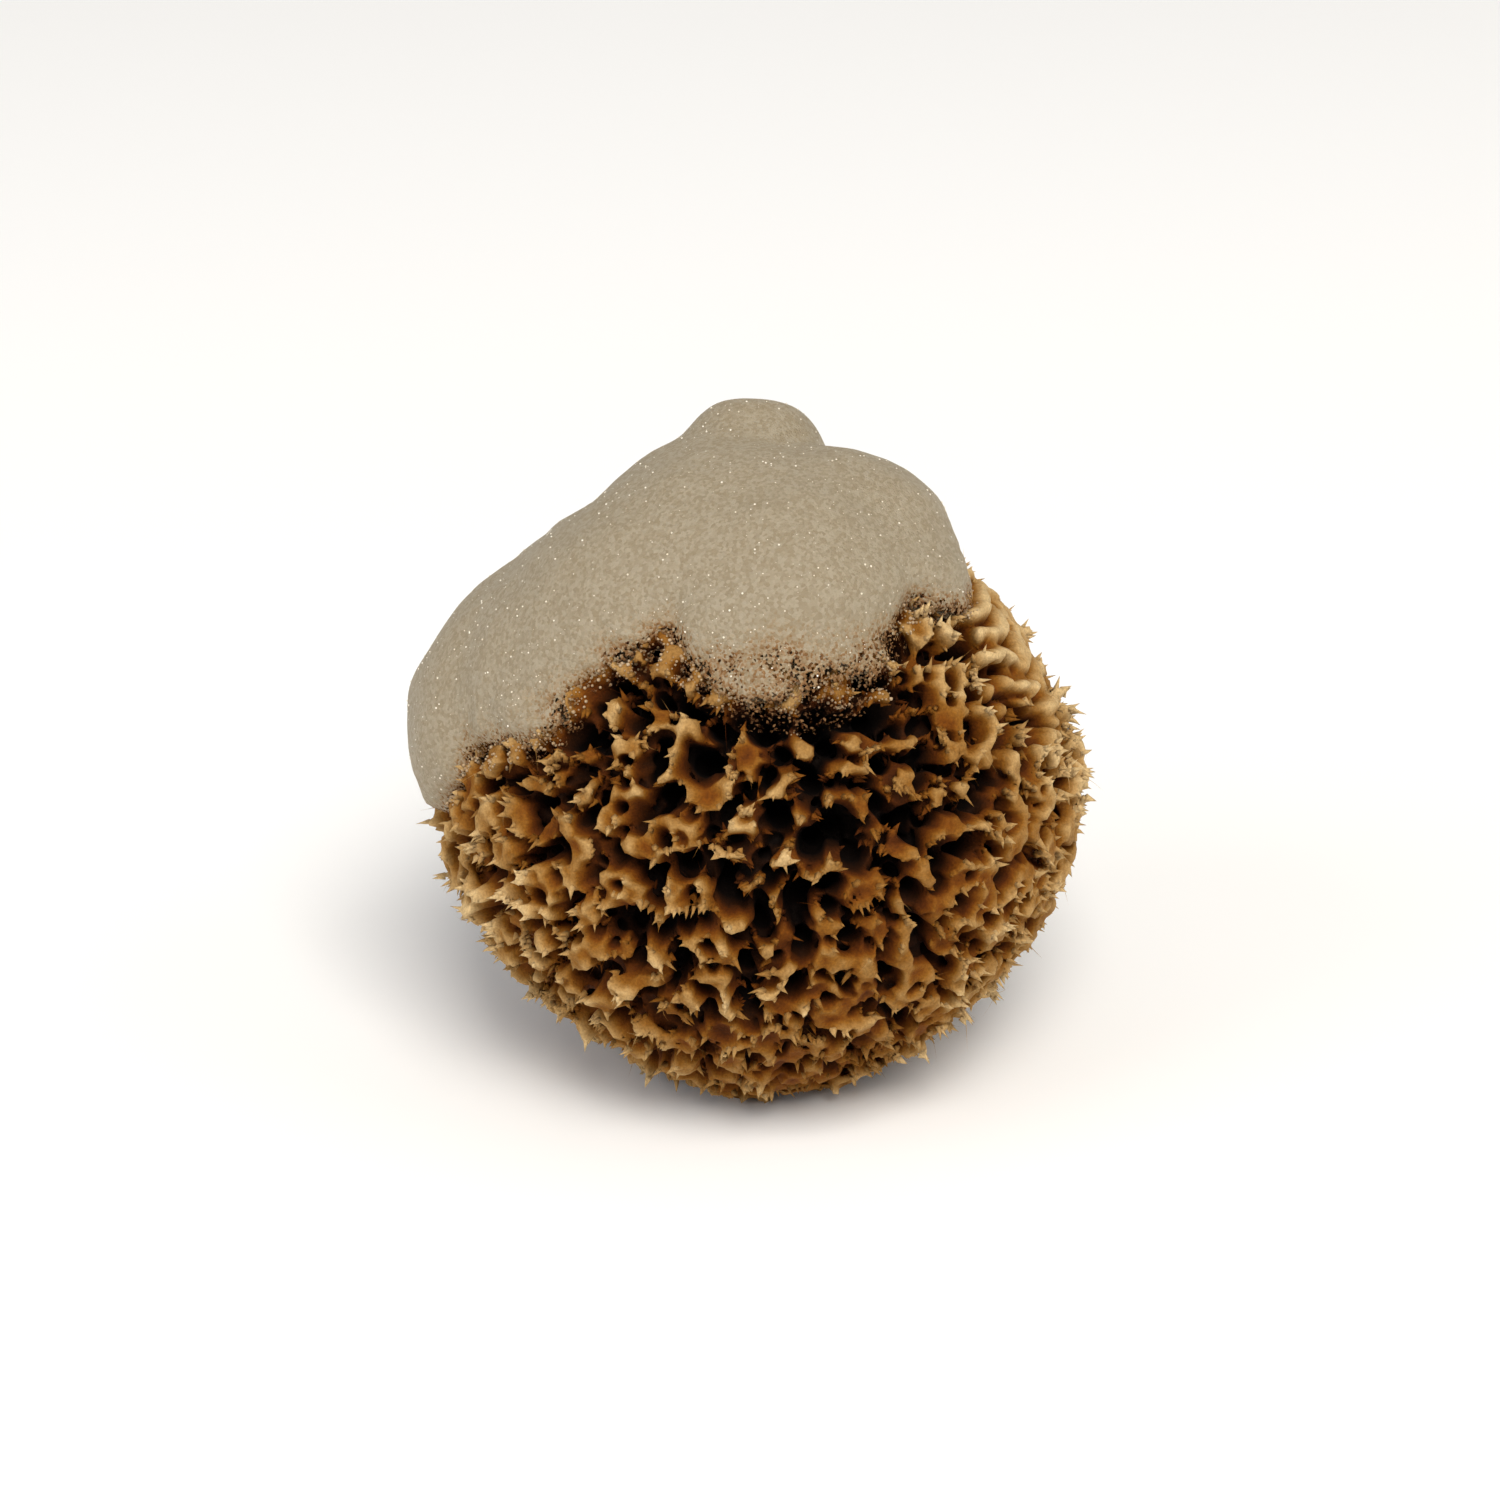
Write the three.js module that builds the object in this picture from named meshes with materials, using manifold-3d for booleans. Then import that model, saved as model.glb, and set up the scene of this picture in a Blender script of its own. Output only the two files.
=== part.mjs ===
// A sea sponge with a cap of soap lather, in millimetres, +Z up.
// The sponge is one grown piece: a rounded mass whose surface is all tufts, parted by grooves and by
// the wider mouths of its canals, and cut off flat below where it was taken from the rock.
// The lather is a thick layer of foam that lies over the top of the sponge, climbs to a peak
// and runs down the front and the left-hand side in two tongues.
// The origin is the middle of the flat cut. The front, where the middle tongue runs, faces -Y.
import * as THREE from "three";
import { ConvexHull } from "three/addons/math/ConvexHull.js";
import { mergeVertices } from "three/addons/utils/BufferGeometryUtils.js";
import Module from "manifold-3d";

// Sponge: its size and its tufts.
const SPONGE_RADIUS = 50; // from the centre of growth to the tips of the tufts
const CENTRE_HEIGHT = 45; // of the centre of growth above the flat cut
const TUFT_COUNT = 350;
const TUFT_JITTER = 0.3; // how far a tuft strays from even spacing, as a share of that spacing
const TOP_SHARE = 0.62; // how wide a tuft is at its top, as a share of its width at the root
const RIM_RAGGEDNESS = 1.4; // how far a rim's points fall short of the tips
const CROWN_HOLLOW = 1.8; // depth of the hollow in a tuft's top
const GROOVE_DEPTH = { least: 4.5, most: 8 };
const CANAL_SHARE = 0.14; // the share of tufts that are canal mouths in place of tufts
const CANAL_RIM_DEPTH = 3;
const CANAL_DEPTH = 11;

// Swellings and flats of the sponge's outline, each round one direction from the centre of growth.
// lean is the angle from straight up and bearing the angle from the front towards +X, in degrees.
// swell is a share of the radius, less than 0 where the sponge is flattened, and width is in degrees.
const OUTLINE = [
  { lean: 53, bearing: 111, swell: -0.085, width: 30 },
  { lean: 135, bearing: 62, swell: -0.03, width: 18 },
  { lean: 46, bearing: -117, swell: -0.08, width: 34 },
  { lean: 104, bearing: -84, swell: 0.02, width: 25 },
  { lean: 142, bearing: -54, swell: -0.03, width: 20 },
  { lean: 26, bearing: 167, swell: -0.06, width: 22 },
  { lean: 93, bearing: 89, swell: 0.015, width: 25 },
  { lean: 154, bearing: -13, swell: 0.01, width: 16 },
];

// Lather: the domes of foam that run together into one cap, placed like the swellings above.
// height is the thickness at the middle of a dome, and width the angle from there to its edge.
const LATHER_DOMES = [
  { lean: 18, bearing: -178, height: 11, width: 14.4 }, // the peak
  { lean: 17, bearing: -150, height: 5.6, width: 16.5 },
  { lean: 14, bearing: -118, height: 4, width: 22 },
  { lean: 12, bearing: 6, height: 4.6, width: 23 },
  { lean: 27, bearing: 24, height: 3.4, width: 14 },
  { lean: 35, bearing: 7, height: 3.2, width: 18 }, // the front tongue
  { lean: 20, bearing: 94, height: 5.8, width: 17 },
  { lean: 33, bearing: 66, height: 2.4, width: 11 },
  { lean: 32, bearing: -60, height: 4, width: 21 },
  { lean: 45, bearing: -88, height: 2.6, width: 12 },
  { lean: 50, bearing: -114, height: 3.2, width: 17 },
  { lean: 56, bearing: -60, height: 2.4, width: 13.5 },
  { lean: 67, bearing: -93, height: 5.4, width: 18 }, // the left-hand tongue
  { lean: 75, bearing: -81, height: 5, width: 15 },
  { lean: 73, bearing: -129, height: 4.4, width: 24 },
  { lean: 60, bearing: -159, height: 4.4, width: 28 },
  { lean: 66, bearing: 170, height: 4.4, width: 22 },
  { lean: 38, bearing: 177, height: 2.6, width: 16 },
];
const LATHER_GAP = 0.3; // between the tips of the tufts and the underside of the lather
const LATHER_BLEND = 2; // how softly two domes run together
const DOME_FLATNESS = 3; // the power that makes a dome flat on top and steep at its edge
const LATHER_SUNK = 10; // how far below the tips each dome's own surface stops outside its edge
const LATHER_TOP_DETAIL = 13; // subdivisions of the icosahedron behind each face of the lather
const LATHER_UNDER_DETAIL = 9;

const wasm = await Module();
wasm.setup();

// Repeatable random numbers from 0 to 1, by a linear congruential generator.
function randomNumbers(seed) {
  let state = seed;
  return () => {
    state = (state * 1664525 + 1013904223) % 4294967296;
    return state / 4294967296;
  };
}

function directionAt(lean, bearing) {
  const polar = THREE.MathUtils.degToRad(lean);
  const turn = THREE.MathUtils.degToRad(bearing);
  return new THREE.Vector3(
    Math.sin(polar) * Math.sin(turn),
    -Math.sin(polar) * Math.cos(turn),
    Math.cos(polar),
  );
}

const withDirection = (spot) => ({ ...spot, direction: directionAt(spot.lean, spot.bearing) });
const outline = OUTLINE.map(withDirection);
const domes = LATHER_DOMES.map(withDirection);

// The angle between a direction and a spot, as a share of the spot's width.
function shareAway(direction, spot) {
  return THREE.MathUtils.radToDeg(direction.angleTo(spot.direction)) / spot.width;
}

// The radius to the tips of the tufts in one direction.
function tipRadius(direction) {
  const swell = outline.reduce(
    (sum, spot) => sum + spot.swell * Math.exp(-(shareAway(direction, spot) ** 2)),
    0,
  );
  return SPONGE_RADIUS * (1 + swell);
}

// The thickness of the lather over the tips, less than 0 outside its edge: a soft greatest of the domes.
function latherThickness(direction) {
  const sum = domes.reduce((total, dome) => {
    const height = dome.height * (1 - shareAway(direction, dome) ** DOME_FLATNESS);
    return total + Math.exp(Math.max(height, -LATHER_SUNK) / LATHER_BLEND);
  }, 0);
  return LATHER_BLEND * Math.log(sum);
}

function solidFrom(geometry) {
  const bare = geometry.clone();
  bare.deleteAttribute("normal");
  bare.deleteAttribute("uv");
  const merged = mergeVertices(bare, 1e-3);
  return new wasm.Manifold(
    new wasm.Mesh({
      numProp: 3,
      vertProperties: merged.attributes.position.array,
      triVerts: new Uint32Array(merged.index.array),
    }),
  );
}

function geometryFrom(solid) {
  const mesh = solid.getMesh();
  const geometry = new THREE.BufferGeometry();
  geometry.setAttribute("position", new THREE.BufferAttribute(mesh.vertProperties, 3));
  geometry.setIndex(new THREE.BufferAttribute(mesh.triVerts, 1));
  geometry.computeVertexNormals();
  return geometry;
}

// The middles of the tufts, as directions: a spiral that spaces them evenly over a sphere, then strays.
function tuftDirections() {
  const random = randomNumbers(7);
  const goldenTurn = Math.PI * (3 - Math.sqrt(5));
  const stray = TUFT_JITTER * Math.sqrt((4 * Math.PI) / TUFT_COUNT);
  return Array.from({ length: TUFT_COUNT }, (_, i) => {
    const height = 1 - (2 * i + 1) / TUFT_COUNT;
    const across = Math.sqrt(1 - height * height);
    const turn = i * goldenTurn;
    const offset = new THREE.Vector3(random() - 0.5, random() - 0.5, random() - 0.5);
    return new THREE.Vector3(across * Math.cos(turn), across * Math.sin(turn), height)
      .addScaledVector(offset, 2 * stray)
      .normalize();
  });
}

// The cells round the tufts, on the sphere. The convex hull of the middles joins each to its neighbours,
// and a corner where three cells meet lies along the normal of one face of that hull.
function tuftCells() {
  const middles = tuftDirections();
  const corners = new Map(middles.map((middle) => [middle, []]));
  for (const face of new ConvexHull().setFromPoints(middles).faces) {
    const corner = face.normal.clone().normalize();
    let edge = face.edge;
    do {
      corners.get(edge.head().point).push(corner);
      edge = edge.next;
    } while (edge !== face.edge);
  }
  return middles.map((middle) => ({ middle, corners: sortedRound(middle, corners.get(middle)) }));
}

// Directions sorted anticlockwise round a middle, as seen from outside.
function sortedRound(middle, directions) {
  const side = new THREE.Vector3(0.6, 0.48, 0.64).cross(middle).normalize();
  const other = middle.clone().cross(side);
  const turn = (direction) => Math.atan2(direction.dot(other), direction.dot(side));
  return [...directions].sort((a, b) => turn(a) - turn(b));
}

// The tufted surface: each cell rises from its corners in the grooves to a ragged rim round a hollow top.
// A canal mouth has its rim and its middle far below the tips.
function tuftedSurface() {
  const random = randomNumbers(21);
  const positions = [];
  const triangles = [];
  const grooveVertex = new Map();
  const addVertex = (direction, depth) => {
    const place = direction.clone().multiplyScalar(tipRadius(direction) - depth);
    return positions.push(place.x, place.y, place.z) / 3 - 1;
  };
  const cornerVertex = (corner) => {
    if (!grooveVertex.has(corner)) {
      const depth = THREE.MathUtils.lerp(GROOVE_DEPTH.least, GROOVE_DEPTH.most, random());
      grooveVertex.set(corner, addVertex(corner, depth));
    }
    return grooveVertex.get(corner);
  };
  for (const { middle, corners } of tuftCells()) {
    const isCanal = random() < CANAL_SHARE;
    const foot = corners.map(cornerVertex);
    const rim = corners.map((corner) => {
      const depth = (isCanal ? CANAL_RIM_DEPTH : 0) + RIM_RAGGEDNESS * random();
      return addVertex(middle.clone().lerp(corner, TOP_SHARE).normalize(), depth);
    });
    const top = addVertex(middle, isCanal ? CANAL_DEPTH : CROWN_HOLLOW);
    corners.forEach((_, i) => {
      const next = (i + 1) % corners.length;
      triangles.push(rim[i], foot[i], foot[next]);
      triangles.push(rim[i], foot[next], rim[next]);
      triangles.push(top, rim[i], rim[next]);
    });
  }
  const geometry = new THREE.BufferGeometry();
  geometry.setAttribute("position", new THREE.Float32BufferAttribute(positions, 3));
  geometry.setIndex(triangles);
  return geometry;
}

// The half of space above the flat cut, as a box round everything that is kept.
function aboveTheCut() {
  const side = 4 * SPONGE_RADIUS;
  const box = new THREE.BoxGeometry(side, side, side);
  box.translate(0, 0, side / 2 - CENTRE_HEIGHT);
  return solidFrom(box);
}

function spongeGeometry() {
  return geometryFrom(solidFrom(tuftedSurface()).intersect(aboveTheCut()));
}

// A sphere of triangles with each corner moved to its own radius.
function roundSurface(detail, radiusAt) {
  const sphere = new THREE.IcosahedronGeometry(1, detail);
  const position = sphere.attributes.position;
  const direction = new THREE.Vector3();
  for (let i = 0; i < position.count; i++) {
    direction.fromBufferAttribute(position, i).normalize();
    const radius = radiusAt(direction);
    position.setXYZ(i, direction.x * radius, direction.y * radius, direction.z * radius);
  }
  return sphere;
}

function latherGeometry() {
  const top = roundSurface(
    LATHER_TOP_DETAIL,
    (direction) => tipRadius(direction) + latherThickness(direction),
  );
  const under = roundSurface(
    LATHER_UNDER_DETAIL,
    (direction) => tipRadius(direction) + LATHER_GAP,
  );
  return geometryFrom(solidFrom(top).subtract(solidFrom(under)));
}

const spongeSkeleton = new THREE.MeshStandardMaterial({ color: 0xb98a4b, roughness: 0.9, metalness: 0 });
const soapFoam = new THREE.MeshStandardMaterial({ color: 0xb5a78d, roughness: 0.6, metalness: 0 });

const sponge = new THREE.Mesh(spongeGeometry(), spongeSkeleton);
sponge.name = "sponge";

const lather = new THREE.Mesh(latherGeometry(), soapFoam);
lather.name = "soap_lather";

// Both are shaped round the centre of growth, which stands over the middle of the flat cut.
const object = new THREE.Group();
object.add(sponge, lather);
object.position.z = CENTRE_HEIGHT;

export default object;
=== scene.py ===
import math

import bpy
import numpy as np
from mathutils import Matrix, Vector


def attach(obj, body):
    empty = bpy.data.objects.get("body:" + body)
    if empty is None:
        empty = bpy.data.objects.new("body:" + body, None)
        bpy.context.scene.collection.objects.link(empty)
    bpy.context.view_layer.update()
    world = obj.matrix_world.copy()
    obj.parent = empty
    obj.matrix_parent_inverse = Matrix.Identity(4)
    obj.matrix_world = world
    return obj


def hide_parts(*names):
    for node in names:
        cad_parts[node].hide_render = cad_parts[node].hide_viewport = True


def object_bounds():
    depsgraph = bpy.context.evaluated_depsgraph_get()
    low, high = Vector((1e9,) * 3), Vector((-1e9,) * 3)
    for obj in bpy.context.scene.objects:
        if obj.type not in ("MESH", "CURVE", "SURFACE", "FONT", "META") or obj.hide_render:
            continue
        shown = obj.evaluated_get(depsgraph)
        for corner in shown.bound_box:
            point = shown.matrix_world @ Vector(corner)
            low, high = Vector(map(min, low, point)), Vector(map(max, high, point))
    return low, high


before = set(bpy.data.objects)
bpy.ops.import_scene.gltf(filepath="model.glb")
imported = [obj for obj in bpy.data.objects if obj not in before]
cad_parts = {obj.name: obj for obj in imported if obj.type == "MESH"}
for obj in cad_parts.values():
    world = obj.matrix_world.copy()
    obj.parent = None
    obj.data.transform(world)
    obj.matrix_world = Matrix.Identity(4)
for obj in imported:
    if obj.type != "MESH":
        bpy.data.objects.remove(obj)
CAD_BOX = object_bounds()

MM = 0.001

# ---------------------------------------------------------------------------------------------
# The sponge's mass. A bath sponge grows outwards from one centre: its outline is a sphere with
# broad swellings and flats, and the flat cut at the bottom is where it was taken from its rock.
# ---------------------------------------------------------------------------------------------
GROWTH_RADIUS = 50.0
CUT_HEIGHT = -45.0
# Each row: lean from straight up, bearing from the front towards the right, swell, width (degrees).
SWELLINGS = np.array([
    (53, 111, -0.085, 30),
    (135, 62, -0.030, 18),
    (46, -117, -0.080, 34),
    (104, -84, 0.020, 25),
    (142, -54, -0.030, 20),
    (26, 167, -0.060, 22),
    (93, 89, 0.015, 25),
    (154, -13, 0.010, 16),
], dtype=np.float32)


def bearing_direction(lean, bearing):
    """The unit direction that leans from straight up and turns from the front (-Y) towards +X."""
    lean, bearing = np.radians(lean), np.radians(bearing)
    parts = (np.sin(lean) * np.sin(bearing), -np.sin(lean) * np.cos(bearing), np.cos(lean))
    return np.stack(parts, axis=-1).astype(np.float32)


def angle_from(directions, lean, bearing):
    """The angle in degrees between each direction and one spot."""
    cosine = directions @ bearing_direction(lean, bearing)
    return np.degrees(np.arccos(np.clip(cosine, -1, 1)))


def tip_radius(directions):
    """GROWTH_RADIUS times 1 plus a bell, swell * exp(-(angle / width)^2), for each swelling."""
    share = np.ones(directions.shape[:-1], np.float32)
    for lean, bearing, swell, width in SWELLINGS:
        share += swell * np.exp(-((angle_from(directions, lean, bearing) / width) ** 2))
    return GROWTH_RADIUS * share


# ---------------------------------------------------------------------------------------------
# How thick the lather lies over the sponge, which settles the tufts that show. The lather is a
# stiff soap foam, laid over the top in domes that run together, with one tongue down the front
# and one down the left.
# ---------------------------------------------------------------------------------------------
# Each row: lean, bearing, height in mm, width in degrees.
LATHER_DOMES = np.array([
    (18, -178, 11, 14.4),
    (17, -150, 5.6, 16.5),
    (14, -118, 4, 22),
    (12, 6, 4.6, 23),
    (27, 24, 3.4, 14),
    (35, 7, 3.2, 18),
    (20, 94, 5.8, 17),
    (33, 66, 2.4, 11),
    (32, -60, 4, 21),
    (45, -88, 2.6, 12),
    (50, -114, 3.2, 17),
    (56, -60, 2.4, 13.5),
    (58, -76, 2.6, 12),
    (67, -93, 5.4, 18),
    (75, -81, 5, 15),
    (73, -129, 4.4, 24),
    (60, -159, 4.4, 28),
    (66, 170, 4.4, 22),
    (38, 177, 2.6, 16),
], dtype=np.float32)
DOME_BLEND = 2.0  # mm over which two domes run together
DOME_FLATNESS = 3  # the power that makes a dome flat on top and steep at its edge
DOME_SUNK = -14.0  # mm at which a dome stops falling


def lather_thickness(directions):
    """The soft greatest, k * log(sum exp(h / k)), of domes height * (1 - (angle / width)^3)."""
    total = np.zeros(directions.shape[:-1], np.float32)
    for lean, bearing, height, width in LATHER_DOMES:
        dome = height * (1 - (angle_from(directions, lean, bearing) / width) ** DOME_FLATNESS)
        total += np.exp(np.maximum(dome, DOME_SUNK) / DOME_BLEND)
    return DOME_BLEND * np.log(total)


# ---------------------------------------------------------------------------------------------
# The sponge's surface: tufts 6 to 7 mm apart. Round canals run inwards between them, wide ones
# at the corners where three tufts meet and narrower ones along the gaps, so each tuft is left
# with a crown of concave scallops and points. It is all one felt of spongin fibre.
# ---------------------------------------------------------------------------------------------
TUFTS = 780
TUFT_STRAY = 0.24  # as a share of the spacing
CELL = 0.45  # mm, of the grid that the sponge is carved in
NEIGHBOURS = 11
LATTICE = 32
random = np.random.default_rng(11)


def unit(vectors):
    """Each vector at length 1."""
    return vectors / np.linalg.norm(vectors, axis=-1, keepdims=True)


def spread_directions(count, stray):
    """A golden-angle spiral of even directions, each strayed by a share of the spacing."""
    i = np.arange(count)
    height = 1 - (2 * i + 1) / count
    across = np.sqrt(1 - height**2)
    turn = i * math.pi * (3 - math.sqrt(5))
    even = np.stack((across * np.cos(turn), across * np.sin(turn), height), axis=-1)
    even += random.normal(0, stray * math.sqrt(4 * math.pi / count), even.shape)
    return unit(even).astype(np.float32)


def gap_directions(middles):
    """The corners and sides of the cells round the middles.

    For each middle, every pair of near neighbours gives a circle through the three. Its centre,
    the normal of their plane, is a corner if no other middle is nearer. Two corners that share a
    pair of middles end one side, whose own middle is halfway between them.
    """
    near = np.argsort(-(middles @ middles.T), axis=1)[:, 1:NEIGHBOURS + 1]
    which = np.arange(NEIGHBOURS)
    a, j, k = np.meshgrid(np.arange(len(middles)), which, which, indexing="ij")
    keep = j < k
    triples = np.stack((a[keep], near[a[keep], j[keep]], near[a[keep], k[keep]]), axis=-1)
    triples = np.unique(np.sort(triples, axis=1), axis=0)
    p, q, r = (middles[triples[:, n]] for n in range(3))
    normal = unit(np.cross(q - p, r - p))
    normal *= np.sign((normal * p).sum(axis=1, keepdims=True))
    own = (normal * p).sum(axis=1)
    empty = (normal @ middles.T > own[:, None] + 1e-6).sum(axis=1) == 0
    corners, triples = normal[empty].astype(np.float32), triples[empty]
    sides = {}
    for corner, triple in enumerate(triples.tolist()):
        for pair in ((0, 1), (0, 2), (1, 2)):
            sides.setdefault((triple[pair[0]], triple[pair[1]]), []).append(corner)
    ends = np.array([pair for pair in sides.values() if len(pair) == 2])
    return corners, corners[ends[:, 0]], corners[ends[:, 1]]


def smooth_heights(points, size, seed):
    """Random heights from -1 to 1 on a lattice size mm apart, blended by 3t^2 - 2t^3."""
    shape = (LATTICE, LATTICE, LATTICE)
    lattice = np.random.default_rng(seed).uniform(-1, 1, shape).astype(np.float32)
    place = points / size + 2 * LATTICE
    low = np.floor(place).astype(np.int32)
    t = (place - low).astype(np.float32)
    t = t * t * (3 - 2 * t)
    low %= LATTICE
    high = (low + 1) % LATTICE
    heights = 0
    for x, wx in ((low[..., 0], 1 - t[..., 0]), (high[..., 0], t[..., 0])):
        for y, wy in ((low[..., 1], 1 - t[..., 1]), (high[..., 1], t[..., 1])):
            for z, wz in ((low[..., 2], 1 - t[..., 2]), (high[..., 2], t[..., 2])):
                heights = heights + wx * wy * wz * lattice[x, y, z]
    return heights


# Where the gaps are wider or narrower than elsewhere: lean, bearing, how much, width in degrees.
OPEN_SPOTS = [(72, 10, 0.22, 26), (122, -50, 0.18, 20), (105, 62, -0.22, 24),
              (52, 78, -0.45, 17), (130, 40, -0.20, 25), (115, 0, -0.10, 20)]


def openness(directions):
    """How wide the gaps are: 1, with slow random swells, plus a bell round each open spot."""
    wide = 1 + 0.15 * smooth_heights(directions * GROWTH_RADIUS, 14.0, 5)
    for lean, bearing, more, width in OPEN_SPOTS:
        wide += more * np.exp(-((angle_from(directions, lean, bearing) / width) ** 2))
    return wide


# The grid that the sponge is carved in: values above 0 are sponge, and measure mm to its skin.
LOW = np.array([-54.0, -54.0, CUT_HEIGHT - 1.0])
HIGH = np.array([54.0, 54.0, 52.0])
SHAPE = np.ceil((HIGH - LOW) / CELL).astype(int) + 1
axes = [(LOW[n] + CELL * np.arange(SHAPE[n])).astype(np.float32) for n in range(3)]
grid = np.stack(np.meshgrid(*axes, indexing="ij"), axis=-1)


def drift(size, seed):
    """Smooth random numbers over the grid: heights from -1 to 1 on a lattice size mm apart,
    blended along each axis in turn by 3t^2 - 2t^3."""
    counts = (SHAPE * CELL / size).astype(int) + 2
    heights = np.random.default_rng(seed).uniform(-1, 1, counts).astype(np.float32)
    for n in range(3):
        place = np.arange(SHAPE[n]) * CELL / size
        low = place.astype(int)
        t = place - low
        t = t * t * (3 - 2 * t)
        weights = np.zeros((SHAPE[n], counts[n]), np.float32)
        weights[np.arange(SHAPE[n]), low] = 1 - t
        weights[np.arange(SHAPE[n]), low + 1] = t
        heights = np.moveaxis(np.tensordot(weights, heights, axes=(1, n)), 0, n)
    return np.ascontiguousarray(heights)


CORE_RADIUS = 30  # mm, inside which it is all sponge
OUTER_RADIUS = 55
radius = np.linalg.norm(grid, axis=-1)
shell = (radius > CORE_RADIUS) & (radius < OUTER_RADIUS)
solid = np.full(radius.shape, -4.0, np.float32)
solid[radius <= CORE_RADIUS] = 12.0
# The depth below the tips, which are uneven by a millimetre or so.
uneven = 0.7 + 0.8 * drift(1.9, 41) - 3.2 * np.maximum(drift(6.0, 42), 0)
solid[shell] = tip_radius(grid[shell] / radius[shell][:, None]) - radius[shell] - uneven[shell]
del shell, uneven, radius
# The canals wander: they are carved in a grid that is itself bent, by up to SPARE mm.
SPARE = 1.7
LEAD = 3.5  # mm outside its mouth at which a canal starts
MARGIN = 0.8  # mm of grid kept round a canal
bent = grid.copy()
for n in range(3):
    bent[..., n] += 0.55 * drift(2.8, 43 + n) + 0.9 * drift(8.0, 46 + n)


def carve(mouth, inward, depth, wide, profile):
    """Takes one round canal out of the solid.

    The canal runs from its mouth along inward. At u mm in, its radius is wide times the profile,
    and past its depth it closes as a half ball. Distance to its wall is clipped into solid.
    """
    ends = np.stack((mouth - LEAD * inward, mouth + depth * inward))
    reach = wide * max(profile[1]) + MARGIN + SPARE
    first = np.clip(((ends.min(axis=0) - reach - LOW) / CELL).astype(int), 0, SHAPE)
    last = np.clip(((ends.max(axis=0) + reach - LOW) / CELL).astype(int) + 2, 0, SHAPE)
    block = tuple(slice(a, b) for a, b in zip(first, last))
    away = bent[block] - mouth
    along = away @ inward
    side = np.sqrt(np.maximum((away**2).sum(axis=-1) - along**2, 0))
    beyond = np.maximum(along - depth, 0)
    wall = np.hypot(side, beyond) - wide * np.interp(along, profile[0] * depth, profile[1])
    np.minimum(solid[block], wall, out=solid[block])


def carve_all(directions, depths, widths, tilt, profile, drops=None):
    """Carves one canal at each direction, its mouth a drop below the tips, tilted a little."""
    inward = unit(-directions + random.normal(0, tilt, directions.shape)).astype(np.float32)
    tips = tip_radius(directions)
    if drops is not None:
        tips = tips - drops
    for n in range(len(directions)):
        mouth = (directions[n] * tips[n]).astype(np.float32)
        carve(mouth, inward[n], float(depths[n]), float(widths[n]), profile)


# Profiles: shares of a canal's depth, and shares of its width there. A flared canal is widest at
# its mouth, so the tufts are pointed stars on wider roots.
FLARED = (np.array([-0.5, 0.0, 0.15, 0.4, 1.0]), np.array([1.7, 1.32, 1.08, 0.8, 0.4]))
STRAIGHT = (np.array([0.0, 1.0]), np.array([1.0, 1.0]))
SHOWN_FROM = -0.93  # of a direction's height, below which is the cut
SPLIT_LEAN, SPLIT_BEARING = 54, 79  # the middle of the upper right, where the sponge was split
SPARED_LEAN, SPARED_WIDTH, SPARED_SHARE = 52, 17, 0.7  # and the canals that are left out there
middles = spread_directions(TUFTS, TUFT_STRAY)
corners, side_a, side_b = gap_directions(middles)


def shown(directions, under=3.0):
    """Which directions are neither under thick lather nor within the cut, nor, for seven in ten,
    among the folds of the upper right."""
    spared = angle_from(directions, SPARED_LEAN, SPLIT_BEARING) < SPARED_WIDTH
    spared &= random.random(len(directions)) < SPARED_SHARE
    return (lather_thickness(directions) < under) & (directions[:, 2] > SHOWN_FROM) & ~spared


# Wide canals at the corners. Depths and radii are in mm, each drawn evenly between two limits.
CORNER_DEPTH, CORNER_RADIUS = (7, 16), (1.15, 2.5)
TILT = 0.12  # how far a canal strays from pointing straight in
c = corners[shown(corners)]
wide = openness(c)
carve_all(c, random.uniform(*CORNER_DEPTH, len(c)) * wide,
          random.uniform(*CORNER_RADIUS, len(c)) * wide, TILT, FLARED)

# Narrow canals along the sides. One gap in five stays closed, so its two tufts are one ridge.
SIDE_DEPTH, SIDE_RADIUS, SIDES_CLOSED = (3.5, 10.0), (0.95, 1.85), 0.2
between = unit(side_a + side_b)
between = between[shown(between) & (random.random(len(between)) > SIDES_CLOSED)]
wide = openness(between)
carve_all(between, random.uniform(*SIDE_DEPTH, len(between)) * wide,
          random.uniform(*SIDE_RADIUS, len(between)) * wide, TILT, FLARED)

# Canal mouths in the middle of some tufts.
MIDDLE_DEPTH, MIDDLE_RADIUS, MIDDLES_OPEN = (6, 13), (1.2, 1.9), 0.06
m = middles[shown(middles, 1.0) & (random.random(TUFTS) < MIDDLES_OPEN)]
carve_all(m, random.uniform(*MIDDLE_DEPTH, len(m)), random.uniform(*MIDDLE_RADIUS, len(m)), 0.08,
          FLARED)

# Flutes down the tufts' sides, part of the way from their middles to their corners.
FLUTE_DEPTH, FLUTE_RADIUS, FLUTES_KEPT = (1.5, 4.5), (0.55, 1.0), 0.55
FLUTES = 6  # round each tuft
flutes = []
for tuft in middles:
    round_it = corners[np.argsort(-(corners @ tuft))[:FLUTES]]
    flutes.append(unit(tuft + random.uniform(0.5, 0.72, (FLUTES, 1)) * (round_it - tuft)))
flutes = np.concatenate(flutes).astype(np.float32)
flutes = flutes[shown(flutes, 2.0) & (random.random(len(flutes)) < FLUTES_KEPT)]
carve_all(flutes, random.uniform(*FLUTE_DEPTH, len(flutes)),
          random.uniform(*FLUTE_RADIUS, len(flutes)), 0.15, FLARED)

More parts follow.
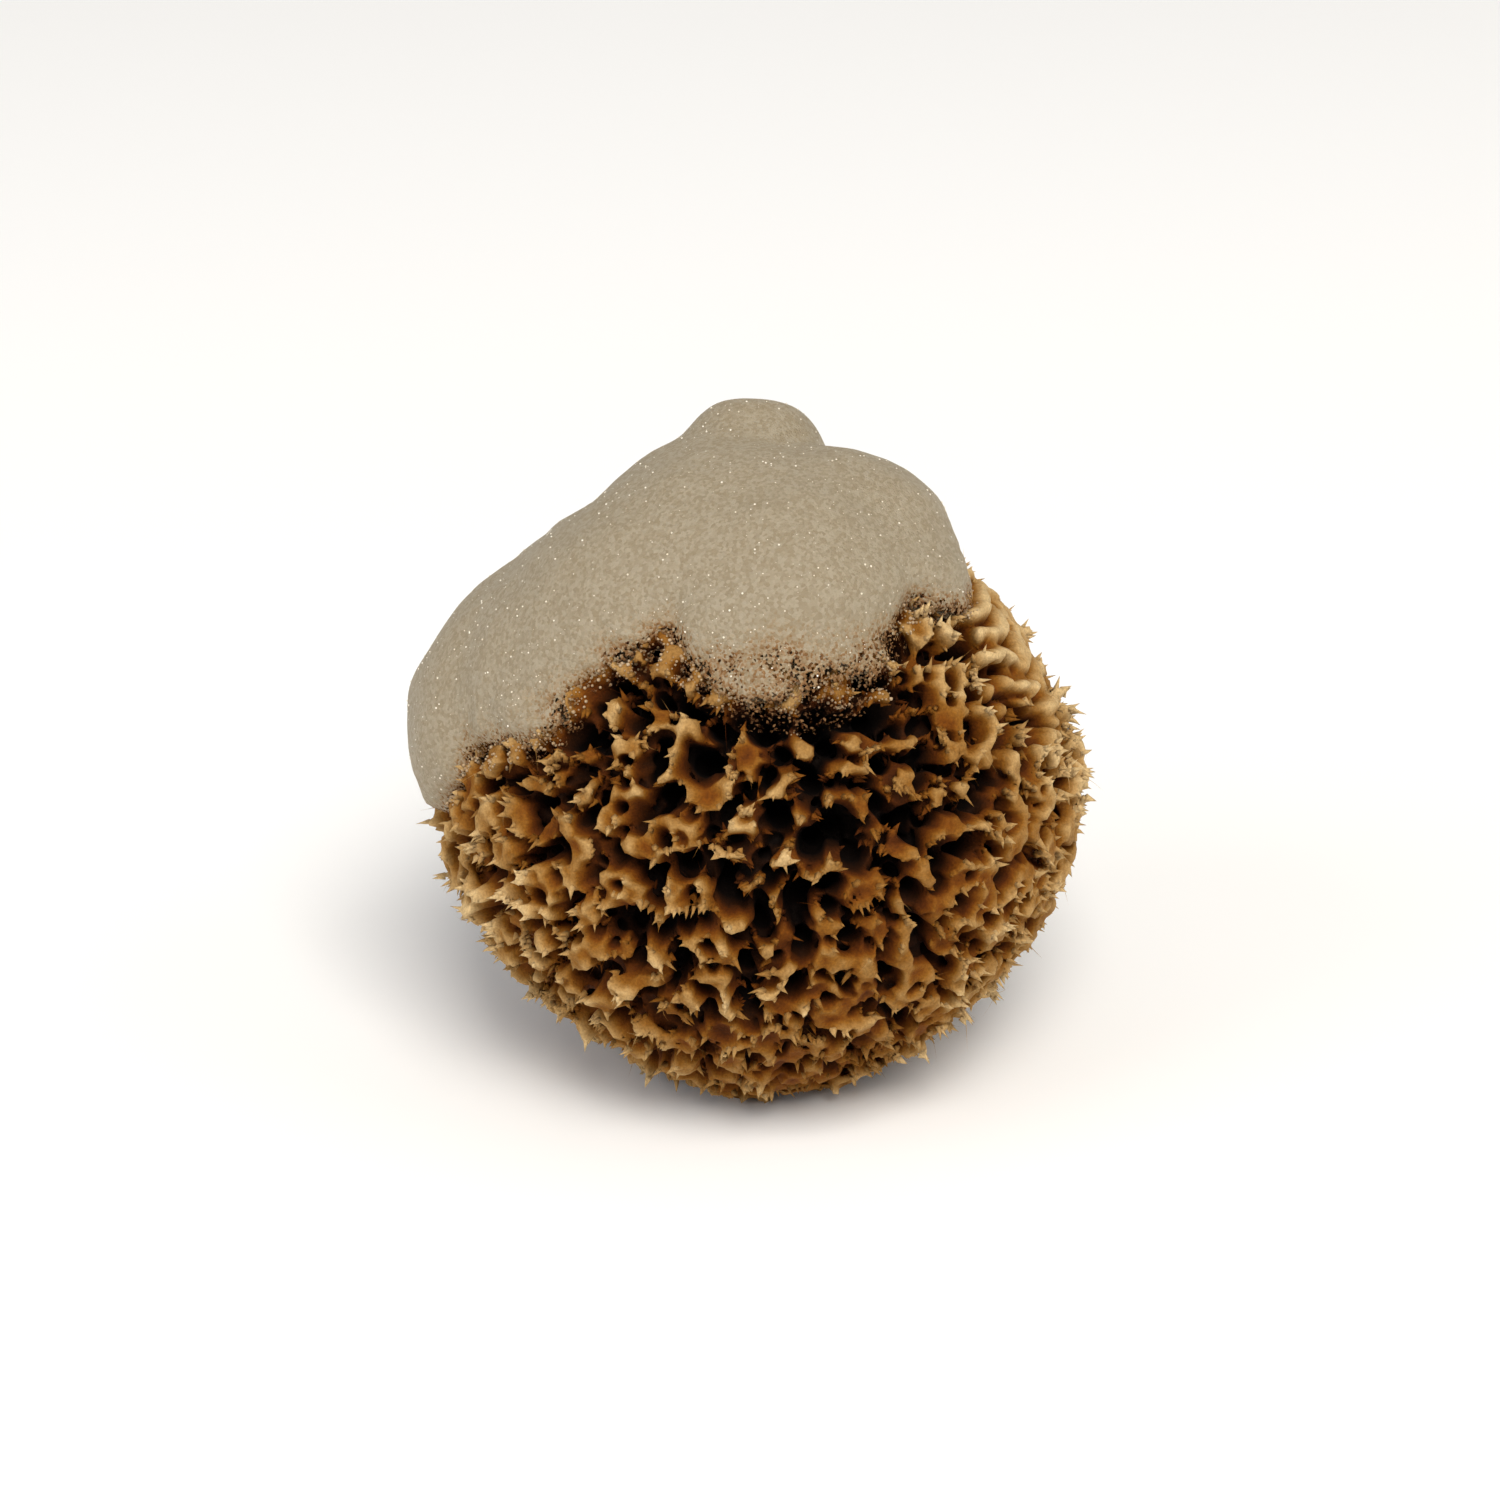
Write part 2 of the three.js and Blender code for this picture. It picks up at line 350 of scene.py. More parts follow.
# The widest hollows, where several canals have run together: lean, bearing, radius, depth.
HOLLOWS = [
    (56, 13, 3.6, 17), (57, 2, 3.4, 15), (64, -12, 3.0, 15), (75, 44, 3.2, 15), (76, 15, 2.8, 18),
    (87, 7, 3.0, 16), (76, 28, 3.0, 14), (83, -6, 2.6, 14), (93, -21, 2.4, 12), (118, 29, 2.0, 12),
    (99, -14, 2.2, 12), (65, -21, 2.5, 12), (63, -33, 2.4, 12), (75, -39, 2.2, 10),
    (109, -3, 2.0, 11), (92, 100, 3.0, 14), (100, 150, 3.2, 15), (108, -150, 3.0, 14),
    (96, -115, 2.8, 14), (120, -85, 2.6, 12), (125, 120, 2.8, 13), (75, 130, 2.6, 12),
    (120, 180, 2.6, 13),
]
for lean, bearing, wide, deep in HOLLOWS:
    inward = -bearing_direction(lean, bearing)
    tip = tip_radius(-inward[None])[0]
    carve(-inward * tip, inward, float(deep), wide, FLARED)

# Each crown is hollowed by a shallow dish, and stands a little higher or lower than the next.
dish = random.uniform(1.8, 3.4, TUFTS)
drop = random.uniform(-0.6, 1.2, TUFTS) + 2.8 * random.random(TUFTS) ** 3
keep = shown(middles, 1.5)
carve_all(middles[keep], np.zeros(keep.sum()), dish[keep], 0.0, STRAIGHT, (drop - dish)[keep])

# Side canals just under the surface, which leave arches and bridges between the tufts.
TUNNELS, TUNNEL_LENGTH = 520, 5.0
tunnels = spread_directions(TUNNELS, 0.5)
tunnels = tunnels[shown(tunnels, 1.0)]
for direction in tunnels:
    sideways = unit(np.cross(direction, random.normal(0, 1, 3))).astype(np.float32)
    centre = direction * (tip_radius(direction[None])[0] - random.uniform(2.5, 7.0))
    carve((centre - 2 * sideways).astype(np.float32), sideways, TUNNEL_LENGTH,
          random.uniform(0.7, 1.35), STRAIGHT)

# Bites out of the crowns' edges.
BITES = 4600
bites = spread_directions(BITES, 0.45)
bites = bites[shown(bites, 2.0)]
carve_all(bites, np.zeros(len(bites)), random.uniform(0.55, 1.05, len(bites)), 0.3, STRAIGHT,
          random.uniform(-1.2, 0.9, len(bites)))

# On the upper right the felt lies in soft folds side by side. They run out and back from the
# front, deepest at their inner ends, and small canals pierce the valleys between them.
FACING = bearing_direction(65, 0)  # the direction that the folds run out from
BACK_UP = bearing_direction(25, 180)
FOLD_SPACING = 5.6  # degrees round FACING
PIT_SPACING = 2.7  # mm
PIT_STRETCH = 0.35  # how fast a pit changes with depth, against how fast it does sideways


def eased(share):
    """3t^2 - 2t^3 for a share t kept from 0 to 1."""
    t = np.clip(share, 0, 1)
    return t * t * (3 - 2 * t)


radius = np.linalg.norm(grid, axis=-1)
split = (radius > 36) & (radius < 53)
widest = math.cos(math.radians(33))
split &= grid @ bearing_direction(SPLIT_LEAN, SPLIT_BEARING) > radius * widest
directions = grid[split] / radius[split][:, None]
ball = directions * GROWTH_RADIUS
away = angle_from(directions, SPLIT_LEAN, SPLIT_BEARING)
out = np.degrees(np.arccos(np.clip(directions @ FACING, -1, 1)))
clock = np.degrees(np.arctan2(directions @ BACK_UP, directions[:, 0]))
clock += 4.0 * smooth_heights(ball, 11.0, 61) + 0.7 * smooth_heights(ball, 3.5, 62)
# A fold's height is a rounded wave of the clock angle, |sin|^0.7. The valleys between folds are
# 5 mm deep at their inner ends, 1 mm at their outer ones, and closed here and there.
wave = np.abs(np.sin(np.radians(clock) * 180 / FOLD_SPACING)) ** 0.7
openness_here = np.maximum(0.8 + 0.9 * smooth_heights(ball, 5.0, 63), 0.1)
valley = (1.0 + 4.0 * eased((82 - out) / 36)) * openness_here
lumps = 0.8 * smooth_heights(ball, 4.0, 64) + 0.45 * smooth_heights(ball, 1.8, 65)
folds = tip_radius(directions) - radius[split] - 0.9 - valley * (1 - wave) + lumps
# The small canals are blobs of a noise that is stretched inwards, and most lie in the valleys.
stretched = GROWTH_RADIUS + PIT_STRETCH * (radius[split] - GROWTH_RADIUS)
pits = smooth_heights(directions * stretched[:, None], PIT_SPACING, 67)
folds = np.minimum(folds, 5.0 * (0.22 + 0.45 * wave - pits))
# Past the split's ragged border the folds sink away, and inside it the tufts do.
outside = eased((away - 13 - 8 * smooth_heights(ball, 5.0, 66)) / 12)
solid[split] = np.maximum(solid[split] - 3.0 * (1 - outside), folds - 9 * outside)
del radius, split

# The cut.
np.minimum(solid, grid[..., 2] - CUT_HEIGHT, out=solid)
del bent


def surface_net(field, low, cell):
    """The surface where a grid of values crosses 0, as points and four-sided faces.

    Each cell that the surface passes through gets one point, the mean of where the surface
    crosses that cell's edges. Each grid edge that the surface crosses joins the four cells
    round it into a face, turned so that it faces the side where the values are below 0.
    """
    inside = field > 0
    count = np.zeros(np.array(field.shape) - 1, np.uint8)
    steps = [(x, y, z) for x in (0, 1) for y in (0, 1) for z in (0, 1)]
    for x, y, z in steps:
        count += inside[x:x + count.shape[0], y:y + count.shape[1], z:z + count.shape[2]]
    crossed = (count > 0) & (count < 8)
    number = np.full(count.shape, -1, np.int32)
    number[crossed] = np.arange(crossed.sum())
    at = np.argwhere(crossed)
    values = {s: field[at[:, 0] + s[0], at[:, 1] + s[1], at[:, 2] + s[2]] for s in steps}
    total = np.zeros(at.shape, np.float32)
    crossings = np.zeros(len(at), np.float32)
    for start in steps:
        for axis in range(3):
            if start[axis]:
                continue
            end = tuple(1 if n == axis else start[n] for n in range(3))
            a, b = values[start], values[end]
            cut = (a > 0) != (b > 0)
            share = np.where(cut, a / np.where(cut, a - b, 1), 0)
            crossings += cut
            for n in range(3):
                total[:, n] += np.where(cut, start[n] + (share if n == axis else 0), 0)
    points = low + cell * (at + total / crossings[:, None])
    faces = []
    for axis in range(3):
        u, v = (axis + 1) % 3, (axis + 2) % 3
        whole = [slice(1, -1)] * 3
        below, above = list(whole), list(whole)
        below[axis], above[axis] = slice(0, -1), slice(1, None)
        start, end = inside[tuple(below)], inside[tuple(above)]
        for first, second, order in ((start, end, (0, 1, 2, 3)), (end, start, (3, 2, 1, 0))):
            edge = np.argwhere(first & ~second)
            edge[:, u] += 1
            edge[:, v] += 1
            around = []
            for du, dv in ((-1, -1), (0, -1), (0, 0), (-1, 0)):
                place = edge.copy()
                place[:, u] += du
                place[:, v] += dv
                around.append(number[place[:, 0], place[:, 1], place[:, 2]])
            faces.append(np.stack([around[n] for n in order], axis=-1))
    return points.astype(np.float32), np.concatenate(faces)


# Where light and shade are painted on the felt: lean, bearing, how much, width in degrees.
LIGHT_AND_SHADE_SPOTS = [(53, 80, 1.25, 23), (115, -60, 0.4, 30), (100, 80, 0.35, 30), (130, 5, -0.3, 26),
              (80, 25, -0.25, 22)]


def light_and_shade(directions):
    """Painted light and shade on the felt: the sum of a bell round each spot, so over 1 on the
    folds of the upper right, a little at the sides, painted light, and less than 0 low in front,
    painted shade."""
    pale = np.zeros(len(directions), np.float32)
    for lean, bearing, more, width in LIGHT_AND_SHADE_SPOTS:
        pale += more * np.exp(-((angle_from(directions, lean, bearing) / width) ** 2))
    return pale


# The mass is built as three wedges round the upright axis, so each can be fine enough. Past its
# side, a wedge runs on a little way under its neighbour's skin, so the joint doesn't show.
WEDGES = {"sponge_front": (-65, 65), "sponge_right": (65, 180), "sponge_left": (-180, -65)}
WEDGE_TRIANGLES = 178000
LAP = 1.0  # mm that a wedge runs on past its side
UNDER_LAP = 0.2  # mm that it lies under its neighbour's skin there
MERGED = 0.002  # mm between points that are made one


def mesh_from(name, points, faces, attributes=None):
    """A mesh object from points in mm round the centre of growth, at its place in the frame."""
    mesh = bpy.data.meshes.new(name)
    placed = (points - np.array([0, 0, CUT_HEIGHT])) * MM
    mesh.vertices.add(len(placed))
    mesh.vertices.foreach_set("co", placed.astype(np.float32).ravel())
    mesh.loops.add(faces.size)
    mesh.loops.foreach_set("vertex_index", faces.astype(np.int32).ravel())
    mesh.polygons.add(len(faces))
    starts = np.arange(0, faces.size, faces.shape[1], dtype=np.int32)
    mesh.polygons.foreach_set("loop_start", starts)
    mesh.update(calc_edges=True)
    mesh.shade_smooth()
    for label, values in (attributes or {}).items():
        layer = mesh.attributes.new(label, "FLOAT", "POINT")
        layer.data.foreach_set("value", values.astype(np.float32))
    piece = bpy.data.objects.new(name, mesh)
    bpy.context.scene.collection.objects.link(piece)
    return piece


def thinned(points, faces, triangles):
    """The same surface with fewer triangles: short edges on flat parts are collapsed first."""
    rough = mesh_from("rough", points, faces)
    thin = rough.modifiers.new("thin", "DECIMATE")
    thin.ratio = min(1.0, triangles / (len(faces) * (faces.shape[1] - 2)))
    thin.use_collapse_triangulate = True
    shown = rough.evaluated_get(bpy.context.evaluated_depsgraph_get())
    mesh = bpy.data.meshes.new_from_object(shown)
    mesh.calc_loop_triangles()
    points = np.empty(len(mesh.vertices) * 3, np.float32)
    mesh.vertices.foreach_get("co", points)
    faces = np.empty(len(mesh.loop_triangles) * 3, np.int32)
    mesh.loop_triangles.foreach_get("vertices", faces)
    bpy.data.objects.remove(rough)
    bpy.data.meshes.remove(mesh)
    # Points that fell on one another are made one, and the slivers between them go.
    points = points.reshape(-1, 3) / MM + np.array([0, 0, CUT_HEIGHT])
    _, first, number = np.unique(np.rint(points / MERGED), axis=0, return_index=True,
                                 return_inverse=True)
    faces = number.reshape(-1)[faces.reshape(-1, 3)]
    a, b, c = faces.T
    return points[first], faces[(a != b) & (b != c) & (a != c)]


def main_part(points, faces):
    """Only the largest joined part: each point takes the lowest number among its neighbours."""
    label = np.arange(len(points))
    while True:
        lowest = label[faces].min(axis=1)
        new = label.copy()
        for n in range(3):
            np.minimum.at(new, faces[:, n], lowest)
        new = new[new]
        if (new == label).all():
            break
        label = new
    faces = faces[label[faces[:, 0]] == np.bincount(label[faces[:, 0]]).argmax()]
    used = np.unique(faces)
    renumber = np.zeros(len(points), np.int64)
    renumber[used] = np.arange(len(used))
    return points[used], renumber[faces]


def normals_of(points, faces):
    """Each point's normal: the sum of its triangles' cross products, at length 1."""
    a, b, c = (points[faces[:, n]] for n in range(3))
    cross = np.cross(b - a, c - a)
    normals = np.empty_like(points)
    for n in range(3):
        normals[:, n] = np.bincount(faces.ravel(), np.repeat(cross[:, n], 3), len(points))
    # A trace is added, so that a point whose triangles cancel out still has a direction.
    return unit(normals + 1e-9)


def box_mean(values, half):
    """The mean of a grid of values over a cube of 2 * half + 1 cells, from running sums."""
    for axis in range(3):
        total = np.cumsum(values, axis=axis, dtype=np.float32)
        size = values.shape[axis]
        high = np.take(total, np.minimum(np.arange(size) + half, size - 1), axis=axis)
        low = np.take(total, np.maximum(np.arange(size) - half - 1, 0), axis=axis)
        values = (high - low) / (2 * half + 1)
    return values


# How much of the space round a place is sponge: low on the points of the crowns, high in gaps.
# The felt's material paints shade by it.
ROUND = 4  # grid cells
CLOSE_BY = 2
crowding = box_mean((solid > 0).astype(np.float32), ROUND)
# The same close by: low only on sharp edges.
bluntness = box_mean((solid > 0).astype(np.float32), CLOSE_BY)
# The way out of the mass: against the rise of the crowding.
slopes = [-part for part in np.gradient(crowding)]
sponge_skin = []
wedges = []
for name, (first, last) in WEDGES.items():
    into_first = bearing_direction(90, first + 90)
    into_last = bearing_direction(90, last - 90)
    inside = np.minimum(grid @ into_first, grid @ into_last)
    field = np.minimum(solid - UNDER_LAP * np.clip(-2 * inside / LAP, 0, 1), inside + LAP)
    field[[0, -1]] = field[:, [0, -1]] = -1
    field[:, :, [0, -1]] = -1
    points, faces = surface_net(field, LOW, CELL)
    points, faces = thinned(points, faces, WEDGE_TRIANGLES)
    points, faces = main_part(points, faces)
    x, y, z = np.clip(np.rint((points - LOW) / CELL).astype(int), 0, SHAPE - 1).T
    depth = tip_radius(unit(points)) - np.linalg.norm(points, axis=1)
    near = crowding[x, y, z]
    blunt = bluntness[x, y, z]
    # The pale attribute carries painted light on the upper right and the sides, and painted shade
    # low in front.
    pale = light_and_shade(unit(points))
    piece = mesh_from(name, points, faces, {"depth": depth, "crowding": near, "pale": pale})
    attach(piece, "root")
    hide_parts("sponge")
    wedges.append(piece)
    outwards = unit(np.stack([part[x, y, z] for part in slopes], axis=-1) + 1e-6)
    sponge_skin.append((points, normals_of(points, faces), outwards, depth, near, blunt))


def linear(code):
    """A linear colour from an sRGB hex code: c / 12.92 up to 0.04045, and above that
    ((c + 0.055) / 1.055)^2.4."""
    values = [int(code[n:n + 2], 16) / 255 for n in (0, 2, 4)]
    return [*(c / 12.92 if c <= 0.04045 else ((c + 0.055) / 1.055) ** 2.4 for c in values), 1.0]


def add(material, kind, settings=None, inputs=None):
    """Adds a node: settings are its own properties, and inputs are values or sockets to link."""
    node = material.node_tree.nodes.new(kind)
    for key, value in (settings or {}).items():
        setattr(node, key, value)
    for key, value in (inputs or {}).items():
        if isinstance(value, bpy.types.NodeSocket):
            material.node_tree.links.new(value, node.inputs[key])
        else:
            node.inputs[key].default_value = value
    return node


def ramp(material, factor, stops):
    """A colour ramp through (place, hex code) stops."""
    node = add(material, "ShaderNodeValToRGB", inputs={"Fac": factor})
    elements = node.color_ramp.elements
    while len(elements) < len(stops):
        elements.new(0.5)
    for element, (place, code) in zip(elements, stops):
        element.position = place
        element.color = linear(code)
    return node.outputs["Color"]


def new_material(name):
    """An empty node material with its output."""
    material = bpy.data.materials.new(name)
    material.use_nodes = True
    material.node_tree.nodes.clear()
    return material


# Spongin is a horny protein, grown as a felt of fine fibre: matt, straw-coloured where it is thin
# and worn. Its colour runs to orange and near black with depth below the tips and with crowding:
# painted shade in the canals and gaps, with the orange a painted glow of light through the felt.
BLOTCHES_PER_MM = 0.16
# The real fibre is 0.03 mm thick, too fine to show, so the felt and its strands are drawn coarser.
FELT_PER_MM = 2.6
STRANDS_PER_MM = 1.1
DARKEST_SHADE_DEPTH = 12  # mm below the tips
spongin = new_material("felted_spongin")
coords = add(spongin, "ShaderNodeTexCoord").outputs["Object"]
depth = add(spongin, "ShaderNodeAttribute", {"attribute_name": "depth"}).outputs["Fac"]
near = add(spongin, "ShaderNodeAttribute", {"attribute_name": "crowding"}).outputs["Fac"]
# The pale attribute is painted light and shade, not the felt's own colour.
pale = add(spongin, "ShaderNodeAttribute", {"attribute_name": "pale"}).outputs["Fac"]
blotch = add(spongin, "ShaderNodeTexNoise",
             inputs={"Vector": coords, "Scale": BLOTCHES_PER_MM / MM, "Detail": 3.0})
# How dark a place is painted: its depth as a share of the darkest, less where the pale attribute
# paints light, and more where it is crowded, all painted shade, and more in the blotches, which
# are the felt's own uneven tone.
shade_and_tone = add(spongin, "ShaderNodeMath", {"operation": "MULTIPLY_ADD"},
           {0: depth, 1: 1 / DARKEST_SHADE_DEPTH, 2: -0.13}).outputs[0]
for part, share in ((pale, -0.25), (near, 0.55), (blotch.outputs["Fac"], 0.30)):
    shade_and_tone = add(spongin, "ShaderNodeMath", {"operation": "MULTIPLY_ADD"},
               {0: part, 1: share, 2: shade_and_tone}).outputs[0]
# The ramp runs from the felt's own straw colour at the tips to near black: its dark end is painted
# shade in the canals, and its orange a painted glow of light through the felt.
colour = ramp(spongin, shade_and_tone, [(0.0, "DDBE8A"), (0.12, "C29C64"), (0.21, "A67C43"), (0.3, "905E1E"),
                              (0.4, "7A4408"), (0.52, "5A2B03"), (0.7, "301501"), (0.95, "0F0501")])
felt = add(spongin, "ShaderNodeTexNoise",
           inputs={"Vector": coords, "Scale": FELT_PER_MM / MM, "Detail": 4.0, "Roughness": 0.6})
strands = add(spongin, "ShaderNodeTexVoronoi", {"feature": "DISTANCE_TO_EDGE"},
              {"Vector": coords, "Scale": STRANDS_PER_MM / MM})
height = add(spongin, "ShaderNodeMath", {"operation": "MULTIPLY_ADD"},
             {0: strands.outputs["Distance"], 1: -0.5, 2: felt.outputs["Fac"]}).outputs[0]
bump = add(spongin, "ShaderNodeBump",
           inputs={"Strength": 0.55, "Distance": 0.3 * MM, "Height": height})
speck = add(spongin, "ShaderNodeMix", {"data_type": "RGBA", "blend_type": "MULTIPLY"},
            {0: 0.55, 6: colour, 7: ramp(spongin, felt.outputs["Fac"],
                                         [(0.3, "8F8678"), (0.7, "FFFFFF")])})
skin = add(spongin, "ShaderNodeBsdfPrincipled",
           inputs={"Base Color": speck.outputs[2], "Roughness": 0.82, "IOR": 1.54,
                   "Specular IOR Level": 0.12, "Normal": bump.outputs["Normal"]})
add(spongin, "ShaderNodeOutputMaterial", inputs={"Surface": skin.outputs[0]})
for piece in wedges:
    piece.data.materials.append(spongin)

# ---------------------------------------------------------------------------------------------
# The sponge's loose ends: the points that stand out from the edges of the crowns, where the felt
# was torn or worn away from stiffer strands, and the thin hairs that stray from them.
# ---------------------------------------------------------------------------------------------
skin_points, skin_normals, skin_outwards, skin_depth, skin_near, skin_blunt = (
    np.concatenate(part) for part in zip(*sponge_skin))


def scattered(chosen, apart, count):
    """Up to count of the chosen points, at most one in each cube of side apart mm."""
    order = random.permutation(np.flatnonzero(chosen))
    cube = np.floor(skin_points[order] / apart).astype(int)
    _, first = np.unique(cube, axis=0, return_index=True)
    return random.permutation(order[first])[:count]


def threads(roots, ahead, length, thick, bend, sides, rings):
    """Tapered threads: a round profile carried along path = root + length * (s ahead + s^2 bend).

    The radius at s is thick * (1 - s), and each thread ends in one point.
    """
    s = np.linspace(0, 1, rings + 1)[:-1]
    across = unit(np.cross(ahead, np.array([0.31, 0.52, 0.79])))
    other = np.cross(ahead, across)
    path = roots[:, None] + length[:, None, None] * (
        s[None, :, None] * ahead[:, None] + (s**2)[None, :, None] * bend[:, None])
    turn = np.arange(sides) * 2 * math.pi / sides
    spoke = (np.cos(turn)[None, :, None] * across[:, None]
             + np.sin(turn)[None, :, None] * other[:, None])
    wide = thick[:, None] * (1 - s[None])
    rounds = path[:, :, None] + wide[:, :, None, None] * spoke[:, None]
    tips = roots + length[:, None] * (ahead + bend)
    points = np.concatenate((rounds.reshape(len(roots), -1, 3), tips[:, None]), axis=1)
    ring, side = np.meshgrid(np.arange(rings - 1), np.arange(sides), indexing="ij")
    a = (ring * sides + side).ravel()
    b = (ring * sides + (side + 1) % sides).ravel()
    last = (rings - 1) * sides + np.arange(sides)
    after = (rings - 1) * sides + (np.arange(sides) + 1) % sides
    faces = [np.stack((a, b, b + sides), axis=-1), np.stack((a, b + sides, a + sides), axis=-1),
             np.stack((last, after, np.full(sides, rings * sides)), axis=-1)]
    faces += [np.array([[0, n + 1, n]]) for n in range(1, sides - 1)]
    faces = np.concatenate(faces)
    starts = np.arange(len(roots)) * (rings * sides + 1)
    return points.reshape(-1, 3), (faces[None] + starts[:, None, None]).reshape(-1, 3)


ROOT = 0.6  # mm of each thread that is sunk in the sponge
LIFT = 0.2  # how much a thread also leads away from the centre of growth
HANG_ROOM = 1.3  # how far above the cut a thread starts, as a share of its length
# A thread's crowding is set low, so it takes little of the felt's painted shade.
FINEST_CROWDING = 0.2  # what the material reads on a thread


def loose_ends(name, chosen, apart, count, length, thick, stray, sides, rings):
    """Threads that stand on the chosen skin points and lead out of the mass round them."""
    high = skin_points[:, 2] > CUT_HEIGHT + 1.0 + HANG_ROOM * length[1]
    at = scattered(chosen & high, apart, count)
    outside = unit(skin_points[at])
    ahead = unit(skin_outwards[at] + LIFT * outside + random.normal(0, stray, (len(at), 3)))
    bend = random.normal(0, stray, (len(at), 3))
    long = random.uniform(*length, len(at))
    roots = skin_points[at] - ROOT * ahead
    wide = random.uniform(*thick, len(at))
    points, faces = threads(roots, ahead, long, wide, bend, sides, rings)
    depth = np.repeat(skin_depth[at] - 0.3, len(points) // len(at))
    near = np.full(len(points), FINEST_CROWDING)
    pale = light_and_shade(unit(points))
    piece = mesh_from(name, points, faces, {"depth": depth, "crowding": near, "pale": pale})
    piece.data.materials.append(spongin)
    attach(piece, "root")
    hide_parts("sponge")


# They stand on the sharpest tenth of the skin near the tips, clear of the lather and the folds.
clear = lather_thickness(unit(skin_points)) < 1.5
folded = angle_from(unit(skin_points), SPLIT_LEAN, SPLIT_BEARING) < 15
worn = clear & ~folded & (skin_depth < 6.0)
worn &= skin_blunt < np.quantile(skin_blunt[worn], 0.10)
loose_ends("crown_points", worn, apart=1.38, count=5200, length=(0.9, 2.1), thick=(0.36, 0.66),
           stray=0.15, sides=5, rings=2)
loose_ends("loose_fibres", worn, apart=2.6, count=380, length=(1.8, 3.4), thick=(0.05, 0.09),
           stray=0.5, sides=3, rings=6)

# ---------------------------------------------------------------------------------------------
# The lather: a stiff soap foam of very fine bubbles, beige from the sponge's own colour. It fills
# the gaps between the tufts under it, and at its edge the tips of the tufts come through.
# ---------------------------------------------------------------------------------------------
LATHER_CELL = 0.6  # mm
LATHER_TRIANGLES = 130000
LATHER_ROOT = 4.0  # mm that it reaches in below the tips
RAGGED_UP_TO = 3.5  # mm of thickness, past which the foam's surface is smooth

lather_low = np.array([-58.0, -48.0, -16.0])
lather_high = np.array([42.0, 56.0, 60.0])
shape = np.ceil((lather_high - lather_low) / LATHER_CELL).astype(int) + 1
axes = [(lather_low[n] + LATHER_CELL * np.arange(shape[n])).astype(np.float32)
        for n in range(3)]
space = np.stack(np.meshgrid(*axes, indexing="ij"), axis=-1)
radius = np.linalg.norm(space, axis=-1)
band = (radius > 38) & (radius < 64)


def lather_top(directions):
    """The radius to the foam's surface: tips plus thickness, with soft lumps of 2 to 7 mm."""
    ball = directions * GROWTH_RADIUS
    thick = lather_thickness(directions)
    ragged = 1.3 * smooth_heights(ball, 4.5, 31) + 0.6 * smooth_heights(ball, 2.0, 32)
    soft = 0.45 * smooth_heights(ball, 7.0, 33) + 0.12 * smooth_heights(ball, 2.6, 34)
    edge = np.clip(1 - np.abs(thick) / RAGGED_UP_TO, 0, 1)
    return tip_radius(directions) + thick + edge * ragged + soft


field = np.full(radius.shape, -3.0, np.float32)
directions = space[band] / radius[band][:, None]
tips = tip_radius(directions)
field[band] = np.minimum(lather_top(directions) - radius[band],
                         radius[band] - tips + LATHER_ROOT)
points, faces = surface_net(field, lather_low, LATHER_CELL)
points, faces = thinned(points, faces, LATHER_TRIANGLES)
points, faces = main_part(points, faces)
# Along the front tongue's lower edge the foam has drained the most.
drained = np.exp(-((angle_from(unit(points), 47, 9) / 12) ** 2))
thickness = lather_top(unit(points)) - tip_radius(unit(points)) - 2.8 * drained
lather = mesh_from("soap_foam", points, faces, {"thickness": thickness})
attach(lather, "root")
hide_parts("soap_lather")

# Soap foam is water and air: a white scatterer, tinted beige here, with a fine grain of bubbles.
# The real ones are about 0.1 mm, too fine to show, so they are drawn at 0.4 mm and 0.5 mm.
BUBBLES_PER_MM = 2.8
LARGE_BUBBLES_PER_MM = 2.0
CLOUDS_PER_MM = 0.23
foam = new_material("soap_foam")
coords = add(foam, "ShaderNodeTexCoord").outputs["Object"]
thick = add(foam, "ShaderNodeAttribute", {"attribute_name": "thickness"}).outputs["Fac"]
cells = add(foam, "ShaderNodeTexVoronoi",
            inputs={"Vector": coords, "Scale": BUBBLES_PER_MM / MM})
large = add(foam, "ShaderNodeTexVoronoi",
            inputs={"Vector": coords, "Scale": LARGE_BUBBLES_PER_MM / MM})
cloud = add(foam, "ShaderNodeTexNoise",
            inputs={"Vector": coords, "Scale": CLOUDS_PER_MM / MM, "Detail": 3.0})
# Foam thinner than 3 mm shows the sponge's brown, bubble by bubble, and the thinnest is a lace.
cover = add(foam, "ShaderNodeMapRange",
            inputs={"Value": thick, "From Min": -2.0, "From Max": 3.0, "To Min": -0.55,
                    "To Max": 0.95}).outputs["Result"]
for part, share in ((cells.outputs["Color"], 0.8), (cloud.outputs["Fac"], 0.4)):
    cover = add(foam, "ShaderNodeMath", {"operation": "MULTIPLY_ADD"},
                {0: part, 1: share, 2: cover}).outputs[0]
colour = ramp(foam, cover, [(0.25, "5E3819"), (0.42, "8A6843"), (0.62, "9C8A6F"),
                            (0.95, "9F947F")])
grain = ramp(foam, large.outputs["Color"], [(0.25, "E3DDD2"), (0.75, "FFFFFF")])
colour = add(foam, "ShaderNodeMix", {"data_type": "RGBA", "blend_type": "MULTIPLY"},
             {0: 0.9, 6: colour, 7: grain}).outputs[2]
lace = add(foam, "ShaderNodeMapRange",
           inputs={"Value": cover, "From Min": 0.24, "From Max": 0.36}).outputs["Result"]
height = add(foam, "ShaderNodeMath", {"operation": "MULTIPLY_ADD"},
             {0: large.outputs["Distance"], 1: 0.35, 2: cells.outputs["Distance"]}).outputs[0]
bump = add(foam, "ShaderNodeBump", {"invert": True},
           {"Strength": 0.7, "Distance": 0.22 * MM, "Height": height})
